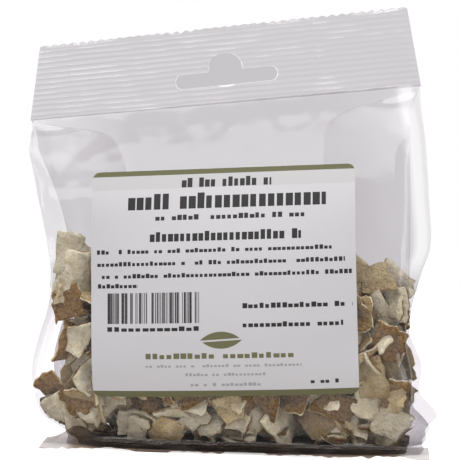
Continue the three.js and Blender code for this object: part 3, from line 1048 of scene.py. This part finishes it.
def labelFinish():
    make = Finish("labelPrint")
    parts = make.add("SeparateXYZ", {}, {"Vector": make.add("TexCoord", {}, {}, "UV")})
    x = Wire(make, parts.socket.node.outputs[0]) * label["width"]
    z = Wire(make, parts.socket.node.outputs[1]) * label["height"]

    def within(value, low, high):
        return (value > low) * (value < high)

    def chance(cell, salt):
        cell = make.add("CombineXYZ", {}, {0: cell, 1: salt, 2: 0.0})
        return make.add("TexWhiteNoise", {"noise_dimensions": "2D"}, {"Vector": cell})

    def marks(rows):
        # short dashes, with gaps as between words, in whichever row a point lies
        inRow, start, low, tall, pitch, weight = (0.0,) * 6
        for left, right, bottom, top, step, heavy in rows:
            here = within(x, left, right) * within(z, bottom, top)
            inRow, start, low = here + inRow, here * left + start, here * bottom + low
            tall, pitch, weight = here * (top - bottom) + tall, here * step + pitch, here * heavy + weight
        number = (x - start) / pitch
        cell, salt = number.math("FLOOR"), low
        along, rise = number.math("FRACT"), (z - low) / tall
        reach = 0.72 + 0.22 * chance(cell, salt + 0.3)
        top = 0.6 + weight * 0.2 + 0.2 * (chance(cell, salt + 0.6) > 0.72)
        dash = within(along, 0.08, reach) * (rise > 0.3 - weight * 0.28) * (rise < top)
        return inRow * dash * (chance(cell, salt) > 0.12)

    soft = make.noise(make.place(), 60, 3)
    colour = make.mix(soft * 0.06, printed["paper"], (0.6, 0.58, 0.55))
    colour = make.mix(z > label["height"] - 6.3, colour, printed["strip"])
    band = (z > label["height"] - 1.7) + (z < 2.0)
    ink = marks(printed["rows"])
    left, right, low, high = printed["bars"]
    cell = ((x - left) / 0.62).math("FLOOR")
    across = ((x - left) / 0.62).math("FRACT")
    inBars = within(x, left, right) * within(z, low, high)
    ink = ink + inBars * (across < 0.25 + chance(cell, 40.0) * 0.75) * (chance(cell, 41.0) > 0.2)
    colour = make.mix(marks(printed["greyRows"]), colour, printed["grey"])
    # a plain leaf: where two discs overlap, split by its rib
    green = marks((printed["leafRow"],))
    lift, apart, reach = 18.6, 7.4, 10.2
    upper = (x - 45).math("POWER", 2.0) + (z - (lift + apart)).math("POWER", 2.0) < reach ** 2
    lower = (x - 45).math("POWER", 2.0) + (z - (lift - apart)).math("POWER", 2.0) < reach ** 2
    rib = (z - lift - (x - 45) * 0.05).math("ABSOLUTE") > 0.28
    green = green + upper * lower * rib
    colour = make.mix(green.math("MINIMUM", 1.0), colour, printed["leaf"])
    colour = make.mix(ink.math("MINIMUM", 1.0), colour, printed["ink"])
    colour = make.mix(band.math("MINIMUM", 1.0), colour, printed["band"])
    colour = make.mix(make.attribute("printSide"), printed["paper"], colour)
    normal = make.bump(make.noise(make.place(), 1500, 2), 0.15, 0.1)
    return make.surface(make.add("BsdfPrincipled", {}, {"Base Color": colour, "Roughness": 0.5, "Normal": normal,
                                                        "Specular IOR Level": 0.35}))


# Soft studio light: a pale room, large softboxes and a pale floor.
lighting = {
    "room": 0.15,
    "floor": (0.82, 0.82, 0.82),
    "floorGlow": 0.56,
    "floorBounce": (0.58, 0.565, 0.55),
    "floorSize": 1.4,
    "lamps": (
        ("frontSoftbox", (-0.28, -0.96, 0.9), (1.25, 0.34), 4.5),
        ("rightStrip", (0.72, -0.45, 0.35), (0.2, 0.8), 2.3),
        ("leftStrip", (-0.83, -0.18, 0.3), (0.2, 0.8), 1.6),
        ("backFill", (0.35, 1.0, 0.75), (0.9, 0.5), 3.5),
        ("overhead", (0.0, -0.1, 1.05), (0.9, 0.7), 15),
    ),
}


def studio():
    deselect()
    bpy.ops.mesh.primitive_plane_add(size=lighting["floorSize"])
    floor = bpy.context.object
    floor.name = "floor"
    make = Finish("floorPaper")
    dull = make.add("BsdfDiffuse", {}, {"Color": (*lighting["floorBounce"], 1)})
    pale = make.add("BsdfPrincipled", {}, {"Base Color": (*lighting["floor"], 1), "Roughness": 0.7,
                                           "Emission Color": (1, 1, 1, 1), "Emission Strength": lighting["floorGlow"]})
    seen = make.add("LightPath", {}, {}, "Is Camera Ray")
    floor.data.materials.append(make.surface(make.add("MixShader", {}, {0: seen, 1: dull, 2: pale})))
    world = bpy.data.worlds.new("room")
    world.use_nodes = True
    nodes, links = world.node_tree.nodes, world.node_tree.links
    room, backdrop = nodes["Background"], nodes.new("ShaderNodeBackground")
    room.inputs["Strength"].default_value = lighting["room"]
    backdrop.inputs["Strength"].default_value = 1.0
    choose, path = nodes.new("ShaderNodeMixShader"), nodes.new("ShaderNodeLightPath")
    for background in (room, backdrop):
        background.inputs["Color"].default_value = (1, 1, 1, 1)
    links.new(path.outputs["Is Camera Ray"], choose.inputs[0])
    links.new(room.outputs[0], choose.inputs[1])
    links.new(backdrop.outputs[0], choose.inputs[2])
    links.new(choose.outputs[0], nodes["World Output"].inputs["Surface"])
    bpy.context.scene.world = world
    for name, place, size, power in lighting["lamps"]:
        bpy.ops.object.light_add(type="AREA", location=place)
        lamp = bpy.context.object
        lamp.name = name
        lamp.data.shape = "RECTANGLE"
        lamp.data.size, lamp.data.size_y = size
        lamp.data.energy = power
        lamp.rotation_euler = (target - Vector(place)).to_track_quat("-Z", "Y").to_euler()


def dress(piece, finish):
    piece.data.materials.clear()
    piece.data.materials.append(finish)
    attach(piece, "root")


studio()
print("studio ready")
peelPieces = makePeel()
driedPeel = peelFinish()
for peelPiece in peelPieces:
    dress(peelPiece, driedPeel)
peelCore = makeCore()
dress(peelCore, coreFinish())
# painted shade: a dark bed in the foot of the bag, in the dark finish of the core
peelFootShade = makeFootShade()
dress(peelFootShade, peelCore.data.materials[0])
print("peel ready")
bagFilm = makeFilm(peelPieces)
dress(bagFilm, filmFinish("clearFilm", {
    "bright": "clear", "dim": "dim", "haze": 0.012, "headOn": 0.031, "rough": 0.12, "wrinkle": 0.02}))
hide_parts("bag")
print("film ready")
sealFilm = filmFinish("sealedFilm", {
    "bright": "seal", "dim": "rib", "haze": 0.02, "headOn": 0.035, "rough": 0.2, "wrinkle": 0.03})
headerSeal = makeHeader()
dress(headerSeal, sealFilm)
slotTongue = makeTongue()
dress(slotTongue, sealFilm)
footSeal = makeFin()
dress(footSeal, filmFinish("footFilm", {
    "bright": "foot", "dim": "finShade", "haze": 0.006, "headOn": 0.02, "rough": 0.16, "wrinkle": 0.05}))
print("seals ready")
labelPaper = makeLabel()
dress(labelPaper, labelFinish())
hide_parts("label")
print("label ready")
